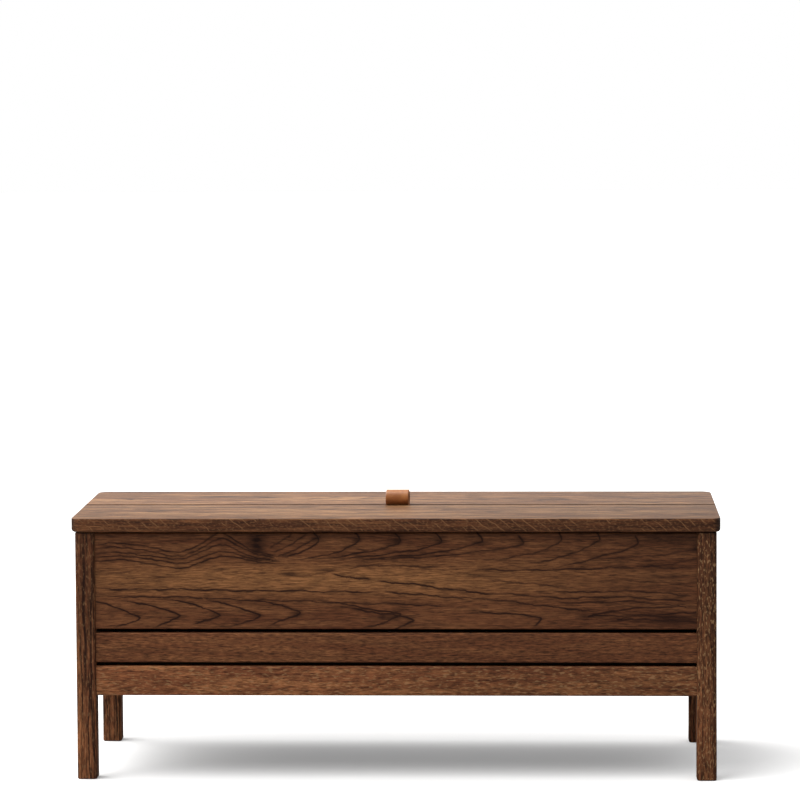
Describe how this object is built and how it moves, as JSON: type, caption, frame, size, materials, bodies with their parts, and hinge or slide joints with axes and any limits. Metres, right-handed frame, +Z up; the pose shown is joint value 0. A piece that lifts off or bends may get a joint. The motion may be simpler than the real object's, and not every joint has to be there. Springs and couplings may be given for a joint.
{
  "type": "storage bench chest",
  "caption": "Low slatted oak chest on square legs, with a hinged two-board seat lid opened by a leather loop in its middle joint.",
  "frame": {"origin": "on the floor under the middle of the lid, at the centre of the whole box", "axes": "+X along the length to the right as seen from the front, +Y from the front to the back, +Z up"},
  "size_m": [1.11, 0.39, 0.479],
  "materials": {
    "lid_oak": "dark oiled oak with a fine open grain, matt",
    "case_oak": "dark oiled oak with visible growth rings, matt",
    "leg_oak": "dark oiled oak with upright grain, matt",
    "inner_oak": "dark oak, unpolished",
    "bottom_board": "stained veneered board, matt",
    "beech_dowel": "plain beech",
    "hinge_steel": "dark burnished steel, satin",
    "screw_steel": "zinc plated steel, satin",
    "felt": "pressed felt, matt",
    "strap_leather": "vegetable tanned leather, satin"
  },
  "bodies": {
    "case": {"leg_front_left": "leg_oak", "leg_front_right": "leg_oak", "leg_rear_left": "leg_oak", "leg_rear_right": "leg_oak", "front_panel": "case_oak", "rear_panel": "case_oak", "left_panel": "case_oak", "right_panel": "case_oak", "front_upper_rail": "case_oak", "rear_upper_rail": "case_oak", "left_upper_rail": "case_oak", "right_upper_rail": "case_oak", "front_lower_rail": "case_oak", "rear_lower_rail": "case_oak", "left_lower_rail": "case_oak", "right_lower_rail": "case_oak", "front_dowels": "beech_dowel", "rear_dowels": "beech_dowel", "left_dowels": "beech_dowel", "right_dowels": "beech_dowel", "bottom_panel": "bottom_board", "front_cleat": "inner_oak", "rear_cleat": "inner_oak", "left_cleat": "inner_oak", "right_cleat": "inner_oak", "cleat_screws": "screw_steel", "bottom_screws": "screw_steel", "lid_bumpers": "felt", "left_hinge_case_leaf": "hinge_steel", "right_hinge_case_leaf": "hinge_steel", "left_hinge_pin": "hinge_steel", "right_hinge_pin": "hinge_steel", "hinge_case_screws": "screw_steel"},
    "lid": {"hinge_lid_screws": "screw_steel", "left_hinge_lid_leaf": "hinge_steel", "right_hinge_lid_leaf": "hinge_steel", "lid_front_board": "lid_oak", "lid_rear_board": "lid_oak", "left_batten": "inner_oak", "middle_batten": "inner_oak", "right_batten": "inner_oak", "batten_screws": "screw_steel", "strap_screws": "screw_steel", "leather_strap": "strap_leather"}
  },
  "joints": [
    {"name": "lid_hinge", "type": "hinge", "parent": "case", "child": "lid", "pos_m": [0, 0.1895, 0.424], "axis": [-1, 0, 0], "range_deg": [0, 100]}
  ]
}
